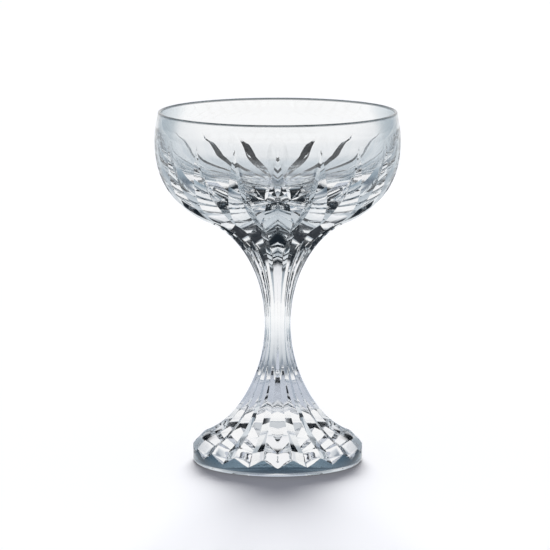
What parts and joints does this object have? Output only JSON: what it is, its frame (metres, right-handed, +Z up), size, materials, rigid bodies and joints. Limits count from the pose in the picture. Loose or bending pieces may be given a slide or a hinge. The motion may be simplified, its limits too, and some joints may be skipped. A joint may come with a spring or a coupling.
{
  "type": "coupe glass",
  "caption": "Cut crystal coupe glass on a waisted stem, with long V grooves from the bowl to the edge of the foot, for champagne or dessert.",
  "frame": {"origin": "centre of the round face under the foot that rests on the table", "axes": "+Z up along the glass's axis, through the stem to the middle of the rim; a groove's valley faces -Y, the picture's front"},
  "size_m": [0.1102, 0.1102, 0.1584],
  "materials": {
    "crystal": "clear lead crystal, polished"
  },
  "bodies": {
    "root": {"bowl": "crystal", "stem": "crystal", "foot": "crystal"}
  },
  "joints": []
}
